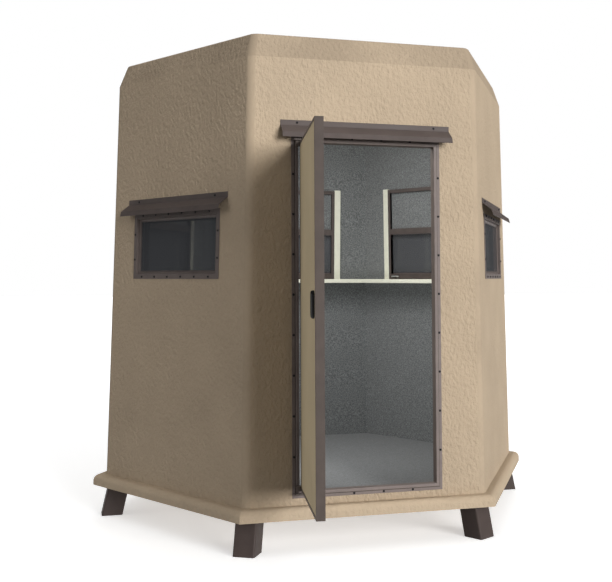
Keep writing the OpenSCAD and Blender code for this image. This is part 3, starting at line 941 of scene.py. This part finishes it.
def build_shelves():
    """One board under the windows, bent round five walls."""
    bm = bmesh.new()
    outer = wall_apothem(SHELF_Z) - WEB_D - SHELF_GAP
    bmesh.ops.inset_region(
        bm, faces=[hex_face(bm, outer, LEG_H + SHELF_Z, 0)], thickness=outer - SHELF_IN, depth=0,
        use_boundary=True, use_even_offset=True,
    )
    front = CENTRE_Y - SHELF_IN
    spare = [f for f in bm.faces if len(f.verts) == SIDES or f.calc_center_median().y < front]
    bmesh.ops.delete(bm, geom=spare, context="FACES")
    out = bmesh.ops.extrude_face_region(bm, geom=bm.faces[:])["geom"]
    bmesh.ops.translate(bm, vec=(0, 0, -SHELF_T), verts=new_verts(out))
    bmesh.ops.recalc_face_normals(bm, faces=bm.faces)
    reach = SHELF_IN / math.cos(HALF) + NEAR
    brink = []
    for e in bm.edges:
        level = abs(e.verts[0].co.z - e.verts[1].co.z) < TOUCH
        inner = all(from_middle(v) < reach for v in e.verts)
        if level and inner and e.calc_face_angle(0) > BRINK_ANGLE:
            brink.append(e)
    round_off(bm, brink, SHELF_ROUND, segments=3)
    finish_piece("shelves", bm, cream_paint, "hut", ("shelves",))


# Door

def build_door_panel():
    """Tan leaf inside its edge channel."""
    bm = bmesh.new()
    low = (-LEAF_X + LEAF_INSET, -BEAD_OUT, LEAF_Z0 + LEAF_INSET)
    high = (LEAF_X - LEAF_INSET, LEAF_T - BEAD_OUT, LEAF_Z1 - LEAF_INSET)
    soft_box(bm, low, high, LEAF_ROUND)
    finish_piece("door_panel", moved(bm, SWING), leaf_tan, "door", ("door_panel",))


def build_door_edge():
    """Brown channel that wraps the leaf's edge."""
    face, rear = -BEAD_OUT, LEAF_T - BEAD_OUT
    section = [
        (0, face - EDGE_T), (0, rear + EDGE_T), (-EDGE_COVER, rear + EDGE_T), (-EDGE_COVER, rear),
        (-LEAF_INSET, rear), (-LEAF_INSET, face), (-EDGE_COVER, face), (-EDGE_COVER, face - EDGE_T),
    ]
    bm = frame_ring(-LEAF_X, LEAF_X, LEAF_Z0, LEAF_Z1, section, EDGE_ROUND)
    finish_piece("door_edge", moved(bm, SWING), edge_brown, "door", ("door_edge",))


def build_door_handle():
    """Recessed pull with a grip in its well."""
    bm = round_ended(HANDLE_W, HANDLE_OUT, HANDLE_H, HANDLE_ROUND)
    sink_face(bm, largest(f for f in bm.faces if f.normal.y < -FACING), HANDLE_RIM, (0, HANDLE_WELL, 0))
    low = (-GRIP_X, -HANDLE_OUT / 2, GRIP_Z0)
    high = (GRIP_X, HANDLE_OUT / 2 - GRIP_BACK, GRIP_Z1)
    soft_box(bm, low, high, GRIP_ROUND, segments=3)
    at = (LEAF_X - EDGE_COVER - HANDLE_SETBACK - HANDLE_W / 2, -BEAD_OUT - HANDLE_OUT / 2, HANDLE_Z)
    moved(bm, SWING @ Matrix.Translation(at))
    finish_piece("door_handle", bm, black_plastic, "door", ("door_handle",))


# Building the hut and its door

build_shell()
build_base_lip()
build_wall_lining()
for turn_count, leg_name in enumerate(LEGS):
    build_leg("leg_" + leg_name, turn_count)
build_door_frame()
build_door_seal_shadow_line()
sheet_piece("door_drip_cap", moved(hood(HOOD_DOOR_Z), FRONT))
sheet_piece("window_awnings", at_windows(hood(HOOD_WIN_Z)))
build_bolts()
build_window_frames()
build_window_sashes()
build_glass_gaskets()
build_window_glass()
build_window_tracks()
build_sash_latches()
build_window_posts()
build_shelves()
build_door_panel()
build_door_edge()
build_door_handle()

# Solids that show as they are

for name, finish in (
    ("floor_deck", deck_wood),
    ("floor_carpet", floor_carpet),
    ("ceiling_lining", wall_carpet),
    ("pivot_brackets", edge_brown),
    ("door_pivots", edge_brown),
):
    nodes[name].data.materials.clear()
    nodes[name].data.materials.append(finish)


# Floor, light and camera

def studio_pale():
    """Pale floor that glows a little more far from the hut, so that it runs into the backdrop."""
    mat, tree, shader, place = finish_base("studio_pale", (0.93, 0.93, 0.93), rough=0.9)
    shader.inputs["Emission Color"].default_value = (1, 1, 1, 1)
    away = tree.nodes.new("ShaderNodeVectorMath")
    away.operation = "LENGTH"
    tree.links.new(place, away.inputs[0])
    glow = mapped(
        tree, away.outputs["Value"], (GLOW_NEAR, GLOW_FAR), (GLOW_LOW, GLOW_HIGH), blend="SMOOTHSTEP"
    )
    tree.links.new(glow, shader.inputs["Emission Strength"])
    return mat


def build_floor():
    """Plain pale studio floor."""
    bm = bmesh.new()
    bmesh.ops.create_grid(bm, x_segments=1, y_segments=1, size=FLOOR_SIZE)
    mesh = bpy.data.meshes.new("studio_floor")
    bm.to_mesh(mesh)
    bm.free()
    mesh.materials.append(studio_pale())
    floor = bpy.data.objects.new("studio_floor", mesh)
    SHOWN.link(floor)
    floor.visible_diffuse = False


def build_world():
    """White backdrop where the camera sees it directly, and a weak even light elsewhere."""
    world = bpy.data.worlds.new("studio")
    bpy.context.scene.world = world
    world.use_nodes = True
    sky = world.node_tree
    light = sky.nodes["Background"]
    backdrop = sky.nodes.new("ShaderNodeBackground")
    for shade in (light, backdrop):
        shade.inputs["Color"].default_value = (1, 1, 1, 1)
    backdrop.inputs["Strength"].default_value = 1.0
    path = sky.nodes.new("ShaderNodeLightPath")
    strength = worked(sky, "MULTIPLY_ADD", path.outputs["Is Glossy Ray"], -SKY_GLOSS_CUT, SKY_LIGHT)
    sky.links.new(strength, light.inputs["Strength"])
    direct = worked(sky, "SUBTRACT", path.outputs["Is Camera Ray"], path.outputs["Transparent Depth"])
    pick = sky.nodes.new("ShaderNodeMixShader")
    sky.links.new(worked(sky, "GREATER_THAN", direct, 0.5), pick.inputs["Fac"])
    sky.links.new(light.outputs["Background"], pick.inputs[1])
    sky.links.new(backdrop.outputs["Background"], pick.inputs[2])
    sky.links.new(pick.outputs["Shader"], sky.nodes["World Output"].inputs["Surface"])


def softbox(name, at, aim, wide, tall, watts, spread=180):
    """Soft rectangular lamp at a place, aimed at a point."""
    lamp = bpy.data.lights.new(name, "AREA")
    lamp.shape = "RECTANGLE"
    lamp.size = wide
    lamp.size_y = tall
    lamp.energy = watts
    lamp.spread = math.radians(spread)
    held = bpy.data.objects.new(name, lamp)
    SHOWN.link(held)
    held.location = at
    held.visible_camera = False
    held.rotation_euler = (Vector(aim) - Vector(at)).to_track_quat("-Z", "Y").to_euler()


def distant(name, tilt, turn, soft, strength):
    """Broad distant light; the angles are in degrees."""
    lamp = bpy.data.lights.new(name, "SUN")
    lamp.energy = strength
    lamp.angle = math.radians(soft)
    held = bpy.data.objects.new(name, lamp)
    SHOWN.link(held)
    held.rotation_euler = (math.radians(tilt), 0, math.radians(turn))


def build_camera():
    """Camera that stands where the photograph was taken."""
    lens = bpy.data.cameras.new("photo_camera")
    lens.sensor_width = 36
    lens.lens = 58.18
    lens.shift_x = -0.10527
    lens.shift_y = -0.05173
    camera = bpy.data.objects.new("photo_camera", lens)
    SHOWN.link(camera)
    camera.location = (-1.28246, -5.10652, 1.24803)
    camera.rotation_euler = (math.radians(91.0314), 0, math.radians(-16.2602))
    bpy.context.scene.camera = camera


build_floor()
build_world()
distant("key_light", tilt=79.5, turn=25.6, soft=34, strength=4.08)
distant("top_light", tilt=8, turn=0, soft=60, strength=0.6)
distant("left_light", tilt=76, turn=272, soft=24, strength=0.39)
distant("back_light", tilt=55, turn=165, soft=40, strength=0.6)
softbox("cabin_fill", at=(0.0, 0.12, 2.24), aim=(0.0, 0.13, 0), wide=0.7, tall=0.7, watts=20)
softbox("head_fill", at=(-0.2, -0.42, 2.05), aim=(0.35, 1.1, 1.75), wide=0.36, tall=0.36, watts=6.5)
softbox("low_fill", at=(-0.35, 0.0, 0.75), aim=(0.9, 0.9, 0.95), wide=0.5, tall=0.5, watts=5.6)
softbox(
    "leaf_light", at=(-3.0, -1.14, 1.05), aim=(-0.4, -1.14, 1.05), wide=0.80, tall=2.6, watts=1.08, spread=6
)
build_camera()
view = bpy.context.scene.view_settings
view.view_transform = "Standard"
view.look = "None"
